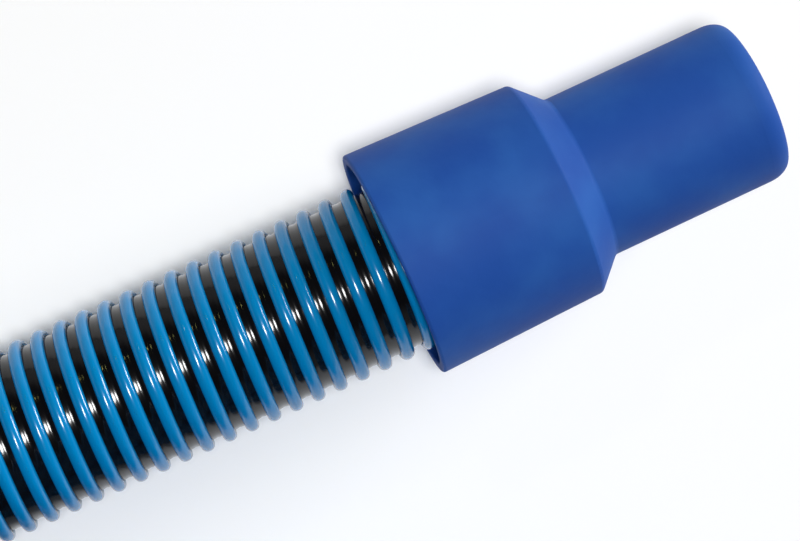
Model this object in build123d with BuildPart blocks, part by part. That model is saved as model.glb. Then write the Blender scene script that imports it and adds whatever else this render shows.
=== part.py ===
"""Swimming-pool vacuum hose: a spiral-wound hose with a swivel cuff on each end, coiled and strapped.

The origin is the centre of the near cuff's mouth. +X points out of that mouth, along the cuff's axis,
and +Z is up. The hose runs away along -X, on the surface that the cuff's sleeve lies on.
"""

import math
import os

from build123d import *

# ---- hose ----------------------------------------------------------------------------------------
HOSE_BORE = 38.1
HOSE_OD = 48.3
HOSE_R = HOSE_OD / 2

# ---- cuff: lengths are measured from the mouth, into the cuff ------------------------------------
CUFF_LENGTH = 107.5
SPOUT_WALL = 3.75
SPOUT_LENGTH = 52.3
SPOUT_TIP_FACE = 0.6  # flat width left on the end of the spout's wall
SPOUT_TIP_ROUND = 5.6  # length over which the outside of the spout rounds in to its end
SHOULDER_LENGTH = 7.5
SHOULDER_ROUND = 1.5
SHOULDER_HOLLOW = 1.5
SLEEVE_WALL = 3.0
SLEEVE_FLARE = 1.4  # the sleeve's radius at its open rear is that much larger than at its front
RIM_ROUND = 0.8

# ---- swivel parts inside the sleeve --------------------------------------------------------------
SHOULDER_WALL = 2.2  # from the end of the shoulder's slope to the face inside it
RUNNING_GAP = 0.08  # radial clearance of the collar's flange in the sleeve, which is sized around it
END_PLAY = 0.05
SEAL_THICKNESS = 2.0
SEAL_INSET = 0.9  # the seal's hole is that much wider than the bore all round
FLANGE_THICKNESS = 3.5
FLANGE_RISE = 1.5  # the flange stands that far out of the collar's barrel
COLLAR_LIP = 3.0  # stop that the end of the hose butts against
COLLAR_WALL = 1.7
COLLAR_LENGTH = 25.0
COLLAR_EDGE = 0.4
WASHER_THICKNESS = 1.2
RETAINER_THICKNESS = 1.8
RETAINER_SEAT = 0.8  # depth of the sleeve's groove past its bore
RETAINER_GAP_ANGLE = 24.0
SIDE_GAP = 0.2

# ---- coil of the put-away length -----------------------------------------------------------------
COIL_MEAN_R = 275.0
COLUMN_GAP = 1.0
LAYER_GAP = 0.5
LAYERS = 3
STRAP_THICKNESS = 2.0
STRAP_ARC = 5.5  # degrees of the coil that a strap covers
STRAP_ANGLES = (150.0, 255.0, 0.0)

# ---- the hose's centreline where it is not coiled ------------------------------------------------
RUN_ROUTE = [
    (-67.05, 0.0, 0.0),
    (-100.0, -0.7, -0.2),
    (-160.0, -0.4, -4.2),
    (-225.0, 0.5, -7.4),
    (-335.0, 1.9, -7.6),
    (-440.0, 3.25, -5.7),
]
TAIL_ROUTE = [
    (-191.0, -256.5, 92.0),
    (-210.0, -193.0, 93.0),
    (-247.0, -133.5, 100.0),
    (-296.5, -83.5, 113.0),
    (-355.0, -45.0, 127.0),
    (-424.0, -27.0, 138.0),
    (-495.0, -27.0, 148.5),
    (-566.0, -27.0, 148.5),
]
BEND_SHARE = 0.45  # share of the shorter run that each bend takes

# ---- worked out from the sizes above -------------------------------------------------------------
bore_r = HOSE_BORE / 2
spout_r = bore_r + SPOUT_WALL
collar_r = HOSE_R + COLLAR_WALL
flange_r = collar_r + FLANGE_RISE
seat_r = flange_r + RUNNING_GAP
sleeve_front_r = seat_r + SLEEVE_WALL
sleeve_rear_r = sleeve_front_r + SLEEVE_FLARE
rear_bore_r = sleeve_rear_r - SLEEVE_WALL

sleeve_front = SPOUT_LENGTH + SHOULDER_LENGTH
shoulder_face = sleeve_front + SHOULDER_WALL
collar_front = shoulder_face + END_PLAY + SEAL_THICKNESS
hose_end = collar_front + COLLAR_LIP
flange_rear = collar_front + FLANGE_THICKNESS
collar_rear = collar_front + COLLAR_LENGTH
washer_front = flange_rear + END_PLAY
washer_rear = washer_front + WASHER_THICKNESS
groove_front = washer_rear
retainer_front = groove_front + END_PLAY
groove_rear = retainer_front + RETAINER_THICKNESS + END_PLAY
groove_r = seat_r + RETAINER_SEAT

column_step = HOSE_OD + COLUMN_GAP
layer_step = HOSE_OD + LAYER_GAP
floor_z = -sleeve_rear_r
first_layer_z = floor_z + STRAP_THICKNESS + HOSE_R
coil_start_x, coil_start_y, _ = RUN_ROUTE[-1]  # the straight hose becomes the coil's outer turn there
coil_middle = Vector(coil_start_x, coil_start_y - COIL_MEAN_R - column_step / 2, 0)
coil_axis = Axis(coil_middle, (0, 0, 1))
far_mouth = Vector(TAIL_ROUTE[-1]) - Vector(hose_end, 0, 0)

# A cuff's section is drawn with the distance from the mouth along x and the radius along y.
near_axis = Plane(origin=(0, 0, 0), x_dir=(-1, 0, 0), z_dir=(0, 1, 0))
far_axis = Plane(origin=far_mouth, x_dir=(1, 0, 0), z_dir=(0, -1, 0))

os.makedirs("parts", exist_ok=True)


def finish(builder, name):
    """Label a finished piece and write it under its own name."""
    builder.part.label = name
    export_step(builder.part, f"parts/{name}.step")


def turning_axis(plane):
    return Axis(plane.origin, plane.x_dir)


def ring(plane, start, end, inner_r, outer_r, arc=360.0):
    """A plain ring about a cuff's axis, between two distances from its mouth."""
    with BuildPart() as piece:
        with BuildSketch(plane):
            with Locations(((start + end) / 2, (inner_r + outer_r) / 2)):
                Rectangle(end - start, outer_r - inner_r)
        revolve(axis=turning_axis(plane), revolution_arc=arc)
    return piece


def cuff(plane):
    """The moulded cuff: narrow spout, sloping shoulder, and a sleeve that widens towards the hose."""
    tip_r = bore_r + SPOUT_TIP_FACE
    with BuildPart() as piece:
        with BuildSketch(plane):
            with BuildLine():
                EllipticalCenterArc(
                    (SPOUT_TIP_ROUND, tip_r),
                    SPOUT_TIP_ROUND,
                    spout_r - tip_r,
                    start_angle=90,
                    arc_size=90,
                )
                Polyline(
                    (SPOUT_TIP_ROUND, spout_r),
                    (SPOUT_LENGTH, spout_r),
                    (sleeve_front, sleeve_front_r),
                    (CUFF_LENGTH, sleeve_rear_r),
                    (CUFF_LENGTH, rear_bore_r),
                    (groove_rear, seat_r),
                    (groove_rear, groove_r),
                    (groove_front, groove_r),
                    (groove_front, seat_r),
                    (shoulder_face, seat_r),
                    (shoulder_face, bore_r),
                    (0, bore_r),
                    (0, tip_r),
                )
            make_face()
            for x, y, radius in (
                (SPOUT_LENGTH, spout_r, SHOULDER_HOLLOW),
                (sleeve_front, sleeve_front_r, SHOULDER_ROUND),
                (CUFF_LENGTH, sleeve_rear_r, RIM_ROUND),
                (CUFF_LENGTH, rear_bore_r, RIM_ROUND),
            ):
                fillet(vertices().sort_by_distance((x, y, 0))[0], radius)
        revolve(axis=turning_axis(plane))
    return piece


def collar(plane):
    """Threaded collar: a lip that stops the hose, a flange that the cuff turns on, and a socket."""
    with BuildPart() as piece:
        with BuildSketch(plane):
            with BuildLine():
                Polyline(
                    (collar_front, bore_r),
                    (collar_front, flange_r),
                    (flange_rear, flange_r),
                    (flange_rear, collar_r),
                    (collar_rear, collar_r),
                    (collar_rear, HOSE_R),
                    (hose_end, HOSE_R),
                    (hose_end, bore_r),
                    close=True,
                )
            make_face()
            for x, y in ((collar_front, flange_r), (flange_rear, flange_r), (collar_rear, collar_r)):
                chamfer(vertices().sort_by_distance((x, y, 0))[0], COLLAR_EDGE)
        revolve(axis=turning_axis(plane))
    return piece


def bend_radii(route):
    """The largest bend that the two runs at each corner leave room for."""
    points = [Vector(*p) for p in route]
    radii = []
    for before, here, after in zip(points, points[1:], points[2:]):
        turn = math.radians((here - before).get_angle(after - here))
        shorter = min((here - before).length, (after - here).length)
        radii.append(BEND_SHARE * shorter / math.tan(turn / 2))
    return radii


def hose_tube(route, name):
    """The hose along a stretch that is not coiled: straight runs joined by tangent bends."""
    radii = bend_radii(route)
    with BuildPart() as piece:
        with BuildLine() as line:
            FilletPolyline(*route, radius=radii)
        path = line.wire()
        with BuildSketch(Plane(origin=path @ 0, z_dir=path % 0)) as section:
            Circle(HOSE_R)
            Circle(bore_r, mode=Mode.SUBTRACT)
        sweep(path=path)
    share = piece.part.volume / (section.sketch.area * path.length)
    print(f"{name}: {path.length:.0f} mm, volume over section by length {share:.4f}")
    bends = [round(r) for r in radii]
    print(f"{name}: bend radii {bends} mm, {min(radii) / HOSE_OD:.1f} diameters at least")
    return piece


def bundle_outline(angle, proud=0.0):
    """The outline pulled tight around the coil's turns, in the upright plane at an angle from +X."""
    outwards = Vector(1, 0, 0).rotate(Axis.Z, angle)
    plane = Plane(origin=coil_middle, x_dir=outwards, z_dir=outwards.cross(Vector(0, 0, 1)))
    with BuildSketch(plane) as outline:
        for side in (-1, 1):
            for layer in range(LAYERS):
                with Locations((COIL_MEAN_R + side * column_step / 2, first_layer_z + layer * layer_step)):
                    Circle(HOSE_R)
        make_hull()
        if proud:
            offset(amount=proud)
    return outline.sketch


# ---- the two swivel cuffs and what is inside them ------------------------------------------------
for end, axis_plane in (("near", near_axis), ("far", far_axis)):
    finish(cuff(axis_plane), f"{end}_cuff")
    finish(collar(axis_plane), f"{end}_collar")
    seal = ring(axis_plane, shoulder_face + END_PLAY, collar_front, bore_r + SEAL_INSET, flange_r)
    finish(seal, f"{end}_seal_ring")
    washer = ring(axis_plane, washer_front, washer_rear, collar_r + SIDE_GAP, seat_r - SIDE_GAP)
    finish(washer, f"{end}_thrust_washer")
    retainer = ring(
        axis_plane,
        retainer_front,
        retainer_front + RETAINER_THICKNESS,
        collar_r + 2 * SIDE_GAP,
        groove_r - END_PLAY,
        arc=360.0 - RETAINER_GAP_ANGLE,
    )
    finish(retainer, f"{end}_retaining_ring")

# ---- the hose ------------------------------------------------------------------------------------
finish(hose_tube(RUN_ROUTE, "hose_run"), "hose_run")
finish(hose_tube(TAIL_ROUTE, "hose_tail"), "hose_tail")

with BuildPart() as hose_coil:
    revolve(bundle_outline(0.0), axis=coil_axis)
finish(hose_coil, "hose_coil")

# ---- straps around the coil ----------------------------------------------------------------------
for number, strap_angle in enumerate(STRAP_ANGLES, start=1):
    edge_angle = strap_angle - STRAP_ARC / 2
    band = bundle_outline(edge_angle, STRAP_THICKNESS) - bundle_outline(edge_angle)
    with BuildPart() as strap:
        revolve(band, axis=coil_axis, revolution_arc=STRAP_ARC)
    finish(strap, f"coil_strap_{number}")
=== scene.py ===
"""Swimming-pool vacuum hose with a swivel cuff on each end, part laid out straight, the rest coiled."""

import math

import bmesh
import bpy
from mathutils import Matrix, Vector


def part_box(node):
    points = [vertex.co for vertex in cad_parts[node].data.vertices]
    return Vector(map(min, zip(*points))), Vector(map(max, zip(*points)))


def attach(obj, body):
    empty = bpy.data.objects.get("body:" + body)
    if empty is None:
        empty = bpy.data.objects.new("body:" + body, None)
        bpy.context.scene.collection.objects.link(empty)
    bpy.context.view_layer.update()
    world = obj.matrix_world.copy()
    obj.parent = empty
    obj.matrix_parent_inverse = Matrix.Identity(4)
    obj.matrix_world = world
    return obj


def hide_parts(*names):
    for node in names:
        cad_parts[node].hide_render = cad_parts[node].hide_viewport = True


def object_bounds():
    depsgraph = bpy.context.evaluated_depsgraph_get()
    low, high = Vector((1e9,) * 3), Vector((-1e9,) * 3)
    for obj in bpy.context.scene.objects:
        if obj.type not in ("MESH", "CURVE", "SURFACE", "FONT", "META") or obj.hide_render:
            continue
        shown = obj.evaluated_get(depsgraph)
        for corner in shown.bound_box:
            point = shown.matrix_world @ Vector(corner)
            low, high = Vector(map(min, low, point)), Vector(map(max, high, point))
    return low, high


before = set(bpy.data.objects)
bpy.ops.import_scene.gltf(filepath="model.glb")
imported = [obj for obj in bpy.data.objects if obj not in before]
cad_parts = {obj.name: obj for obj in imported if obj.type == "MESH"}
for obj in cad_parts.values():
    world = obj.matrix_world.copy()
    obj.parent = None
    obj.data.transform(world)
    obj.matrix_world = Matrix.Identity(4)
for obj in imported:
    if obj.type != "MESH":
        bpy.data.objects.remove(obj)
cad_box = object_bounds()

# ---- camera ------------------------------------------------------------------------------------
# A long lens looks almost straight down on the near cuff. The hose runs out of the lower left corner
# and the cuff's mouth points to the upper right.
cuff_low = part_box("near_cuff")[0]
eye = Vector((-0.158, -0.0022, 0.72))
aim = Vector((cuff_low[0] + 0.0012, -0.0022, 0.0))
ahead = (aim - eye).normalized()
along = (Vector((1, 0, 0)) - ahead * ahead.x).normalized()
across = (-ahead).cross(along)
tilt = math.radians(25.06)
right = along * math.cos(tilt) - across * math.sin(tilt)
up = along * math.sin(tilt) + across * math.cos(tilt)
camera_data = bpy.data.cameras.new("camera")
camera_data.lens = 122.0
camera_data.clip_start = 0.05
camera = bpy.data.objects.new("camera", camera_data)
camera.matrix_world = Matrix.Translation(eye) @ Matrix((right, up, -ahead)).transposed().to_4x4()
bpy.context.collection.objects.link(camera)
bpy.context.scene.camera = camera
bpy.context.scene.view_settings.view_transform = "Standard"

# ---- light -------------------------------------------------------------------------------------
# A lamp over the hose makes the bright points on the ribs, a small yellow one beside it a second row,
# and one beyond the cuff lights its shoulder. The surroundings are bright low down and dark overhead.
LAMPS = (
    # name, place, aim, width, watts, colour
    ("key", (-0.16, -0.10, 1.55), (-0.12, 0.0, 0.0), 0.36, 18.0, (1.0, 1.0, 1.0)),
    ("spark", (-0.16, 0.80, 0.95), (-0.16, 0.0, 0.0), 0.05, 0.22, (1.0, 0.95, 0.30)),
    ("beyond_cuff", (3.00, 0.25, 0.90), (-0.06, 0.0, 0.0), 1.30, 90.0, (1.0, 1.0, 1.0)),
)
for name, place, target, width, watts, colour in LAMPS:
    lamp_data = bpy.data.lights.new(name, "AREA")
    lamp_data.shape = "DISK"
    lamp_data.size = width
    lamp_data.energy = watts
    lamp_data.color = colour
    lamp = bpy.data.objects.new(name, lamp_data)
    lamp.location = place
    lamp.rotation_euler = (Vector(target) - Vector(place)).to_track_quat("-Z", "Y").to_euler()
    bpy.context.collection.objects.link(lamp)

LOW_LIGHT = 6.2
HIGH_LIGHT = 0.38
LEAN = 0.3  # how much brighter the low light is on the +Y side than on average
world = bpy.data.worlds.new("studio")
world.use_nodes = True
sky = world.node_tree
direction = sky.nodes.new("ShaderNodeTexCoord")
split = sky.nodes.new("ShaderNodeSeparateXYZ")
fade = sky.nodes.new("ShaderNodeMapRange")
fade.inputs["From Min"].default_value = 0.25
fade.inputs["From Max"].default_value = 0.60
fade.inputs["To Min"].default_value = LOW_LIGHT
fade.inputs["To Max"].default_value = HIGH_LIGHT
fade.interpolation_type = "SMOOTHSTEP"
sky.links.new(direction.outputs["Generated"], split.inputs[0])
sky.links.new(split.outputs["Z"], fade.inputs["Value"])
lean = sky.nodes.new("ShaderNodeMath")
lean.operation = "MULTIPLY_ADD"
lean.inputs[1].default_value = LEAN
lean.inputs[2].default_value = 1.0
strength = sky.nodes.new("ShaderNodeMath")
strength.operation = "MULTIPLY"
sky.links.new(split.outputs["Y"], lean.inputs[0])
sky.links.new(fade.outputs[0], strength.inputs[0])
sky.links.new(lean.outputs[0], strength.inputs[1])
sky.links.new(strength.outputs[0], sky.nodes["Background"].inputs["Strength"])
bpy.context.scene.world = world


# ---- floor -------------------------------------------------------------------------------------
# A plain matt white surface that the straight hose and the coil lie on. It belongs to the staging and
# not to the object.
def material(name, colour, roughness, **sockets):
    """A plain Principled material, ready for its own nodes."""
    made = bpy.data.materials.new(name)
    made.use_nodes = True
    shader = made.node_tree.nodes["Principled BSDF"]
    shader.inputs["Base Color"].default_value = (*colour, 1)
    shader.inputs["Roughness"].default_value = roughness
    for socket, value in sockets.items():
        shader.inputs[socket.replace("_", " ")].default_value = value
    return made


def add_mesh(name, vertices, faces, *materials):
    """A mesh object at the origin."""
    mesh = bpy.data.meshes.new(name)
    mesh.from_pydata(vertices, [], faces)
    mesh.update()
    for each in materials:
        mesh.materials.append(each)
    piece = bpy.data.objects.new(name, mesh)
    bpy.context.collection.objects.link(piece)
    return piece


floor_z = cad_box[0][2]
reach = 6.0  # half the floor's width
floor = add_mesh(
    "floor",
    [(x * reach, y * reach, floor_z) for x, y in ((-1, -1), (1, -1), (1, 1), (-1, 1))],
    [(0, 1, 2, 3)],
    material("pale floor", (0.96, 0.96, 0.96), 0.7),
)

# ---- route of the hose -------------------------------------------------------------------------
# A 38 mm pool hose 9.1 m long. It leaves the near cuff straight, is wound two abreast into a coil, and
# its last turn climbs onto the coil with the far cuff.
HOSE_D = 0.0483
RUN_ROUTE = [
    (-0.06705, 0.0, 0.0),
    (-0.100, -0.0007, -0.0002),
    (-0.160, -0.0004, -0.0042),
    (-0.225, 0.0005, -0.0074),
    (-0.335, 0.0019, -0.0076),
    (-0.440, 0.00325, -0.0057),
]
TAIL_ROUTE = [
    (-0.191, -0.2565, 0.092),
    (-0.210, -0.193, 0.093),
    (-0.247, -0.1335, 0.100),
    (-0.2965, -0.0835, 0.113),
    (-0.355, -0.045, 0.127),
    (-0.424, -0.027, 0.138),
    (-0.495, -0.027, 0.1485),
    (-0.566, -0.027, 0.1485),
]
COIL_CENTRE = Vector((-0.440, -0.2964))
COIL_MEAN_R = 0.275
COLUMN_STEP = HOSE_D + 0.001
LAYER_STEP = HOSE_D + 0.0005
STRAP_THICKNESS = 0.002
first_layer_z = floor_z + STRAP_THICKNESS + HOSE_D / 2
STEP = 15  # degrees between two points of a turn
CROSSING = 50  # degrees in which a turn changes place
TURN = 290  # degrees from one change of place to the next
HOSE_WOUND = 1710  # degrees in the whole coil
SLOTS = [(1, 0), (-1, 0), (-1, 1), (1, 1), (1, 2), (-1, 2)]  # side and layer of each turn


def ease(t):
    t = min(1.0, max(0.0, t))
    return t * t * (3 - 2 * t)


def coil_point(angle, widen=1.0):
    """A point of the coil: the angle wound so far decides its column and its layer."""
    side, layer = SLOTS[0]
    for number, (next_side, next_layer) in enumerate(SLOTS[1:], start=1):
        share = ease((angle - TURN * number) / CROSSING)
        side += (next_side - SLOTS[number - 1][0]) * share
        layer += (next_layer - SLOTS[number - 1][1]) * share
    radius = (COIL_MEAN_R + side * COLUMN_STEP / 2) * widen
    around = math.radians(90 + angle)
    return (
        COIL_CENTRE.x + radius * math.cos(around),
        COIL_CENTRE.y + radius * math.sin(around),
        first_layer_z + layer * LAYER_STEP,
    )


# a quadratic curve runs inside its control points by this share of the radius
inside = 0.75 + 0.25 * math.cos(math.radians(STEP))
coil_route = [coil_point(angle, 1 / inside) for angle in range(STEP, HOSE_WOUND + 1, STEP)]
route = RUN_ROUTE + coil_route + TAIL_ROUTE

route_curve = bpy.data.curves.new("hose route", "CURVE")
route_curve.dimensions = "3D"
route_curve.resolution_u = 10
spline = route_curve.splines.new("NURBS")
spline.points.add(len(route) - 1)
for point, place in zip(spline.points, route):
    point.co = (*place, 1)
spline.order_u = 3
spline.use_endpoint_u = True
route_object = bpy.data.objects.new("hose route", route_curve)
bpy.context.collection.objects.link(route_object)
route_mesh = bpy.data.meshes.new_from_object(route_object)
hose_path = [v.co.copy() for v in route_mesh.vertices]
path_length = sum((b - a).length for a, b in zip(hose_path, hose_path[1:]))


# ---- wound strips ------------------------------------------------------------------------------
# The hose is wound from two strips: a black web edge to edge, and a blue bead over each of its seams.
# One tree lays a closed section along a left-hand helix about the route.
PITCH = 0.00645


def add_node(tree, kind, inputs=None, **settings):
    """A node with its settings, its inputs linked to sockets or set to values."""
    node = tree.nodes.new(kind)
    for name, value in settings.items():
        setattr(node, name, value)
    for key, value in (inputs or {}).items():
        socket = node.inputs[key]
        if isinstance(value, bpy.types.NodeSocket):
            tree.links.new(value, socket)
        else:
            socket.default_value = value
    return node


def build_wound_strip():
    """The tree, and the identifier of each of its inputs."""
    tree = bpy.data.node_groups.new("wound strip", "GeometryNodeTree")
    tree.interface.new_socket("Geometry", in_out="INPUT", socket_type="NodeSocketGeometry")
    tree.interface.new_socket("Geometry", in_out="OUTPUT", socket_type="NodeSocketGeometry")
    keys = {}
    for name, kind in (
        ("Section", "NodeSocketObject"),
        ("Section Points", "NodeSocketInt"),
        ("Start", "NodeSocketFloat"),
        ("Turns", "NodeSocketInt"),
        ("Pitch", "NodeSocketFloat"),
        ("First Angle", "NodeSocketFloat"),
        ("Steps per Turn", "NodeSocketInt"),
        ("Material", "NodeSocketMaterial"),
    ):
        socket = tree.interface.new_socket(name, in_out="INPUT", socket_type=kind)
        keys[name] = socket.identifier
    given = tree.nodes.new("NodeGroupInput").outputs

    def number(operation, a, b=0.0):
        return add_node(tree, "ShaderNodeMath", {0: a, 1: b}, operation=operation).outputs[0]

    def vector(operation, a, b=None, scale=None):
        inputs = {0: a}
        if b is not None:
            inputs[1] = b
        if scale is not None:
            inputs["Scale"] = scale
        return add_node(tree, "ShaderNodeVectorMath", inputs, operation=operation).outputs[0]

    # a flat grid: its x runs along the winding and its y round the section
    steps = number("MULTIPLY", given["Turns"], given["Steps per Turn"])
    grid = add_node(
        tree,
        "GeometryNodeMeshGrid",
        {
            "Size X": 1.0,
            "Size Y": 1.0,
            "Vertices X": number("ADD", steps, 1.0),
            "Vertices Y": number("ADD", given["Section Points"], 1.0),
        },
    )
    position = add_node(tree, "GeometryNodeInputPosition").outputs[0]
    on_grid = add_node(tree, "ShaderNodeSeparateXYZ", {0: position}).outputs
    wound = number("MULTIPLY", number("ADD", on_grid[0], 0.5), given["Turns"])
    round_section = number("MULTIPLY", number("ADD", on_grid[1], 0.5), given["Section Points"])
    section_point = number("ROUND", round_section)

    # the point of the section: its distance along the hose and from the centreline
    section = add_node(tree, "GeometryNodeObjectInfo", {"Object": given["Section"]})
    section_place = add_node(
        tree,
        "GeometryNodeSampleIndex",
        {0: section.outputs["Geometry"], "Value": position, "Index": section_point},
        data_type="FLOAT_VECTOR",
        domain="POINT",
        clamp=True,
    )
    on_section = add_node(tree, "ShaderNodeSeparateXYZ", {0: section_place.outputs[0]}).outputs

    # the place on the route, and the direction out from it at the angle wound so far
    travelled = number("ADD", given["Start"], number("MULTIPLY", wound, given["Pitch"]))
    route_line = add_node(tree, "GeometryNodeMeshToCurve", {"Mesh": given["Geometry"]})
    on_route = add_node(
        tree,
        "GeometryNodeSampleCurve",
        {"Curves": route_line.outputs[0], "Length": number("ADD", travelled, on_section[0])},
        mode="LENGTH",
    ).outputs
    angle = number("SUBTRACT", given["First Angle"], number("MULTIPLY", wound, 2 * math.pi))
    side = vector("CROSS_PRODUCT", on_route["Tangent"], on_route["Normal"])
    outwards = vector(
        "ADD",
        vector("SCALE", on_route["Normal"], scale=number("COSINE", angle)),
        vector("SCALE", side, scale=number("SINE", angle)),
    )
    on_wall = vector("ADD", on_route["Position"], vector("SCALE", outwards, scale=on_section[1]))

    laid = add_node(tree, "GeometryNodeSetPosition", {0: grid.outputs["Mesh"], "Position": on_wall})
    closed = add_node(tree, "GeometryNodeMergeByDistance", {0: laid.outputs[0], "Distance": 1e-6})
    smooth = add_node(tree, "GeometryNodeSetShadeSmooth", {0: closed.outputs[0]})
    solid = add_node(tree, "GeometryNodeRealizeInstances", {0: smooth.outputs[0]})
    finished = add_node(
        tree, "GeometryNodeSetMaterial", {0: solid.outputs[0], "Material": given["Material"]}
    )
    tree.links.new(finished.outputs[0], tree.nodes.new("NodeGroupOutput").inputs[0])
    return tree, keys


wound_strip, strip_inputs = build_wound_strip()


def close_and_turn_outwards(mesh):
    """Cap a swept mesh's open ends and point its faces outwards."""
    shape = bmesh.new()
    shape.from_mesh(mesh)
    bmesh.ops.holes_fill(shape, edges=[e for e in shape.edges if e.is_boundary])
    bmesh.ops.recalc_face_normals(shape, faces=shape.faces)
    shape.to_mesh(mesh)
    shape.free()


def wind(name, section, start, turns, steps, finish, first_angle=0.0):
    """A strip of that closed section (points along and out from the hose), as a plain closed mesh."""
    outline = bpy.data.meshes.new(name + "_section")
    outline.from_pydata([(x, y, 0) for x, y in section + section[:1]], [], [])
    drawn = bpy.data.objects.new(name + "_section", outline)
    bpy.context.collection.objects.link(drawn)
    piece = bpy.data.objects.new(name, route_mesh.copy())
    bpy.context.collection.objects.link(piece)
    winding = piece.modifiers.new("winding", "NODES")
    winding.node_group = wound_strip
    for key, value in (
        ("Section", drawn),
        ("Section Points", len(section)),
        ("Start", start),
        ("Turns", turns),
        ("Pitch", PITCH),
        ("First Angle", first_angle),
        ("Steps per Turn", steps),
        ("Material", finish),
    ):
        winding[strip_inputs[key]] = value
    depsgraph = bpy.context.evaluated_depsgraph_get()
    piece.data = bpy.data.meshes.new_from_object(piece.evaluated_get(depsgraph))
    piece.modifiers.clear()
    bpy.data.objects.remove(drawn)
    close_and_turn_outwards(piece.data)
    piece.data.materials.clear()
    piece.data.materials.append(finish)
    piece.data.polygons.foreach_set("material_index", [0] * len(piece.data.polygons))
    return piece


# ---- hose web ----------------------------------------------------------------------------------
# Glossy black flexible plastic with two low rounded ridges along the strip. Past the stretch that
# lies open its wall is a plain tube, because the beads hide it.
BORE_R = 0.01905
WEB_R = 0.0216
RIDGE = 0.00020
RIDGES = 2
RIDGE_POINTS = 6
SEAM_GAP = 0.00002
HOSE_START = 0.003
FINE_TURNS = 31
FIRST_ANGLE = math.radians(289)
WEB_STEPS = 64  # faces in a turn of the open stretch
TUBE_SIDES = 20
web_black = material("web black", (0.003, 0.003, 0.004), 0.14, Specular_IOR_Level=0.36)

half = PITCH / 2 - SEAM_GAP
web_section = []
for i in range(RIDGES * RIDGE_POINTS + 1):
    share = i / (RIDGES * RIDGE_POINTS)
    lift = RIDGE * abs(math.sin(math.pi * RIDGES * share))
    web_section.append((half * (2 * share - 1), WEB_R + lift))
web_section += [(half, BORE_R), (-half, BORE_R)]
hose_web = wind("hose_web", web_section, HOSE_START, FINE_TURNS, WEB_STEPS, web_black, FIRST_ANGLE)


def tube_along(points, first, rings, outer, inner, around):
    """Vertices and faces of a hollow tube about a line, from its numbered point on."""
    vertices, faces = [], []
    normal = Vector((0, 0, 1))
    for i in range(rings):
        here = points[first + i]
        ahead_of = points[min(first + i + 1, len(points) - 1)]
        tangent = (ahead_of - points[first + i - 1]).normalized()
        normal = (normal - tangent * normal.dot(tangent)).normalized()
        beside = tangent.cross(normal)
        for radius in (outer, inner):
            for k in range(around):
                turn = 2 * math.pi * k / around
                vertices.append(here + (normal * math.cos(turn) + beside * math.sin(turn)) * radius)
    for i in range(rings - 1):
        for k in range(around):
            n = (k + 1) % around
            a, b = 2 * around * i, 2 * around * (i + 1)
            faces.append((a + k, a + n, b + n, b + k))
            faces.append((b + around + k, b + around + n, a + around + n, a + around + k))
    for a in (0, 2 * around * (rings - 1)):
        for k in range(around):
            n = (k + 1) % around
            faces.append((a + k, a + around + k, a + around + n, a + n))
    return vertices, faces


travelled = [0.0]
for a, b in zip(hose_path, hose_path[1:]):
    travelled.append(travelled[-1] + (b - a).length)
fine_end = HOSE_START + FINE_TURNS * PITCH
first_plain = next(i for i, s in enumerate(travelled) if s > fine_end - PITCH)
plain_rings = len(hose_path) - first_plain
vertices, faces = tube_along(hose_path, first_plain, plain_rings, WEB_R, BORE_R, TUBE_SIDES)
plain_tube = bpy.data.meshes.new("plain_tube")
plain_tube.from_pydata(vertices, [], faces)
plain_tube.shade_smooth()
joined = bmesh.new()
joined.from_mesh(hose_web.data)
joined.from_mesh(plain_tube)
bmesh.ops.recalc_face_normals(joined, faces=joined.faces)
joined.to_mesh(hose_web.data)
joined.free()

# ---- hose beads --------------------------------------------------------------------------------
# A hard half-round rib of blue plastic, welded over the web's seam all along the hose.
BEAD_HALF_WIDTH = 0.00185
BEAD_HEIGHT = 0.0016
BEAD_LIFT = HOSE_D / 2 - BEAD_HEIGHT
OPEN_POINTS, OPEN_STEPS = 16, 90  # points of the section and steps in a turn where the hose lies open
COIL_POINTS, COIL_STEPS = 6, 24  # and in the coil
COIL_BEADS = 3
bead_blue = material("bead blue", (0.0, 0.205, 0.48), 0.17)


def bead_section(points):
    """A little more than half a circle, standing on the seam between two turns of the web."""
    section = []
    for i in range(points):
        turn = math.radians(-30 + 240 * i / (points - 1))
        section.append(
            (PITCH / 2 + BEAD_HALF_WIDTH * math.cos(turn), BEAD_LIFT + BEAD_HEIGHT * math.sin(turn))
        )
    return section


open_section = bead_section(OPEN_POINTS)
open_turns = FINE_TURNS - 1
beads = [wind("hose_bead_run", open_section, HOSE_START, open_turns, OPEN_STEPS, bead_blue, FIRST_ANGLE)]
coil_turns = int((path_length - HOSE_START) / PITCH) - FINE_TURNS
for number in range(COIL_BEADS):
    first = open_turns + coil_turns * number // COIL_BEADS
    last = open_turns + coil_turns * (number + 1) // COIL_BEADS
    beads.append(
        wind(
            f"hose_bead_coil_{number + 1}",
            bead_section(COIL_POINTS),
            HOSE_START + first * PITCH,
            last - first,
            COIL_STEPS,
            bead_blue,
            FIRST_ANGLE,
        )
    )

bpy.data.objects.remove(route_object)
for piece in (hose_web, *beads):
    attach(piece, "hose")
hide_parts("hose_run", "hose_tail", "hose_coil")

# ---- cuffs -------------------------------------------------------------------------------------
# Each cuff is one injection moulding in soft blue polyethylene. Its skin is satin, and slightly uneven
# in colour where the moulding cooled.
def noise(tree, scale, detail, coordinates, roughness=0.5):
    inputs = {"Scale": scale, "Detail": detail, "Roughness": roughness, "Vector": coordinates}
    return add_node(tree, "ShaderNodeTexNoise", inputs).outputs["Fac"]


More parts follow.
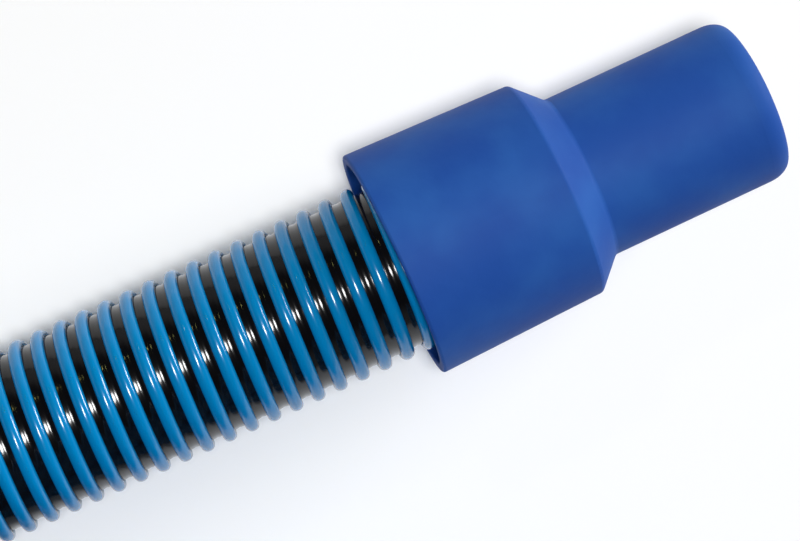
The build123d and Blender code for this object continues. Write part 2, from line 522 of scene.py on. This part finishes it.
def blotch(finish, colour_a, colour_b, scale, low, high):
    """The material's colour drifts between two over that many blotches to the metre."""
    tree = finish.node_tree
    place = tree.nodes.new("ShaderNodeTexCoord").outputs["Object"]
    ramp = add_node(
        tree,
        "ShaderNodeMapRange",
        {"Value": noise(tree, scale, 3.0, place), "From Min": low, "From Max": high},
        interpolation_type="SMOOTHSTEP",
    )
    mix = tree.nodes.new("ShaderNodeMix")
    mix.data_type = "RGBA"
    tree.links.new(ramp.outputs[0], mix.inputs["Factor"])
    mix.inputs[6].default_value = (*colour_a, 1)
    mix.inputs[7].default_value = (*colour_b, 1)
    tree.links.new(mix.outputs[2], tree.nodes["Principled BSDF"].inputs["Base Color"])


def build_grain():
    """A fine unevenness of the surface: grains to the metre, their depth in metres, and a strength."""
    tree = bpy.data.node_groups.new("grain", "ShaderNodeTree")
    for name in ("Scale", "Depth", "Strength"):
        tree.interface.new_socket(name, in_out="INPUT", socket_type="NodeSocketFloat")
    tree.interface.new_socket("Normal", in_out="OUTPUT", socket_type="NodeSocketVector")
    given = tree.nodes.new("NodeGroupInput").outputs
    place = tree.nodes.new("ShaderNodeTexCoord").outputs["Object"]
    height = noise(tree, given["Scale"], 2.0, place)
    inputs = {"Height": height, "Distance": given["Depth"], "Strength": given["Strength"]}
    bump = add_node(tree, "ShaderNodeBump", inputs)
    tree.links.new(bump.outputs[0], tree.nodes.new("NodeGroupOutput").inputs[0])
    return tree


grain_effect = build_grain()


def grain(finish, scale, depth, strength):
    """Places the grain in a material, with its own values."""
    tree = finish.node_tree
    inputs = {"Scale": scale, "Depth": depth, "Strength": strength}
    placed = add_node(tree, "ShaderNodeGroup", inputs, node_tree=grain_effect)
    tree.links.new(placed.outputs["Normal"], tree.nodes["Principled BSDF"].inputs["Normal"])


cuff_blue = material("cuff blue", (0.004, 0.055, 0.33), 0.60, Specular_IOR_Level=0.12)
blotch(cuff_blue, (0.012, 0.066, 0.31), (0.020, 0.098, 0.365), 38.0, 0.35, 0.75)
grain(cuff_blue, 260.0, 0.00025, 0.35)

# ---- swivel parts ------------------------------------------------------------------------------
# Inside each sleeve a black moulded collar screws onto the hose and turns against a rubber seal and a
# white acetal washer. A black split ring in the sleeve's groove keeps them in.
collar_black = material("collar black", (0.020, 0.020, 0.022), 0.38)
grain(collar_black, 900.0, 0.0001, 0.3)
seal_rubber = material("seal rubber", (0.012, 0.012, 0.012), 0.75)
grain(seal_rubber, 1500.0, 0.0001, 0.5)
acetal_white = material("acetal white", (0.72, 0.72, 0.68), 0.35)
grain(acetal_white, 1200.0, 0.00005, 0.3)
FINISHES = {
    "cuff": cuff_blue,
    "collar": collar_black,
    "seal_ring": seal_rubber,
    "thrust_washer": acetal_white,
    "retaining_ring": collar_black,
}
for end in ("near", "far"):
    for part, finish in FINISHES.items():
        carried = bpy.data.objects[f"{end}_{part}"]
        carried.data.materials.clear()
        carried.data.materials.append(finish)

# ---- straps ------------------------------------------------------------------------------------
# Three black woven hook-and-loop straps, pulled tight around the turns that lie at their place, each
# with its end lapped over and pressed down.
STRAP_ANGLES = (150, 255, 0)
STRAP_WIDTH = 0.026
STRAP_CLEARANCE = 0.0002
ROUND_FROM, ROUND_TO = 60, 415  # degrees round the bundle's section, for the whole strap
LAP_FROM, LAP_TO = 15, 115  # and for its lapped end
BAND_STEP = 5
YARN = 0.0011
strap_black = material("strap black", (0.016, 0.016, 0.018), 0.85)
tree = strap_black.node_tree
place = add_node(tree, "ShaderNodeAttribute", attribute_name="along_and_across").outputs["Vector"]
yarns = [
    add_node(
        tree,
        "ShaderNodeTexWave",
        {"Vector": place, "Scale": 2 * math.pi / (20 * YARN)},  # one wave to a yarn
        bands_direction=thread,
    ).outputs["Fac"]
    for thread in ("X", "Y")
]
woven = add_node(tree, "ShaderNodeMath", {0: yarns[0], 1: yarns[1]}, operation="MULTIPLY")
weave = add_node(tree, "ShaderNodeBump", {"Height": woven.outputs[0], "Distance": 0.0004})
tree.links.new(weave.outputs[0], tree.nodes["Principled BSDF"].inputs["Normal"])


def turns_at(angle):
    """The places, out from the coil's axis and up, of the turns that pass a strap's angle."""
    places = []
    wound = (angle - 90) % 360
    while wound <= HOSE_WOUND:
        x, y, z = coil_point(wound)
        places.append(Vector((math.hypot(x - COIL_CENTRE.x, y - COIL_CENTRE.y), z)))
        wound += 360
    return places


def band(places, first, last, inner, outer):
    """Two matching lines round the bundle, pulled tight at two distances from the turns' centres."""
    lines = []
    for turn in range(first, last + 1, BAND_STEP):
        out = Vector((math.cos(math.radians(turn)), math.sin(math.radians(turn))))
        furthest = max(places, key=lambda place: place.dot(out))
        lines.append((furthest + out * inner, furthest + out * outer))
    return lines


def strap_part(lines, angle, closed):
    """Vertices and faces of a flat band that wide, about those lines."""
    outwards = Vector((math.cos(math.radians(angle)), math.sin(math.radians(angle)), 0))
    beside = Vector((-outwards.y, outwards.x, 0)) * STRAP_WIDTH / 2
    centre = Vector((*COIL_CENTRE, 0))
    vertices, faces = [], []
    for inner, outer in lines:
        for point, sideways in ((inner, -1), (inner, 1), (outer, 1), (outer, -1)):
            vertices.append(centre + outwards * point.x + Vector((0, 0, point.y)) + beside * sideways)
    count = len(lines)
    for i in range(count if closed else count - 1):
        n = (i + 1) % count
        for k in range(4):
            m = (k + 1) % 4
            faces.append((4 * i + k, 4 * i + m, 4 * n + m, 4 * n + k))
    if not closed:
        faces += [(3, 2, 1, 0), tuple(4 * (count - 1) + k for k in range(4))]
    return vertices, faces


for number, angle in enumerate(STRAP_ANGLES, start=1):
    places = turns_at(angle)
    skin = HOSE_D / 2 + STRAP_CLEARANCE
    thick = STRAP_THICKNESS - STRAP_CLEARANCE
    round_all = band(places, ROUND_FROM, ROUND_TO, skin, skin + thick * 0.95)
    lap = band(places, LAP_FROM, LAP_TO, skin + thick, skin + thick * 1.9)
    vertices, faces = strap_part(round_all, angle, True)
    more_vertices, more_faces = strap_part(lap, angle, False)
    faces += [tuple(i + len(vertices) for i in face) for face in more_faces]
    strap = add_mesh(f"strap_{number}", vertices + more_vertices, faces, strap_black)
    close_and_turn_outwards(strap.data)
    weave_place = strap.data.attributes.new("along_and_across", "FLOAT_VECTOR", "POINT")
    gone = 0.0
    for first in range(0, len(strap.data.vertices), 4):
        corner = strap.data.vertices[first].co
        gone += (corner - strap.data.vertices[max(0, first - 4)].co).length
        for i, across in enumerate((0.0, STRAP_WIDTH, STRAP_WIDTH, 0.0)):
            weave_place.data[first + i].vector = (gone, across, 0.0)
    soften = strap.modifiers.new("edges", "BEVEL")
    soften.width = 0.0004
    soften.segments = 2
    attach(strap, "hose")
    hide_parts(f"coil_strap_{number}")
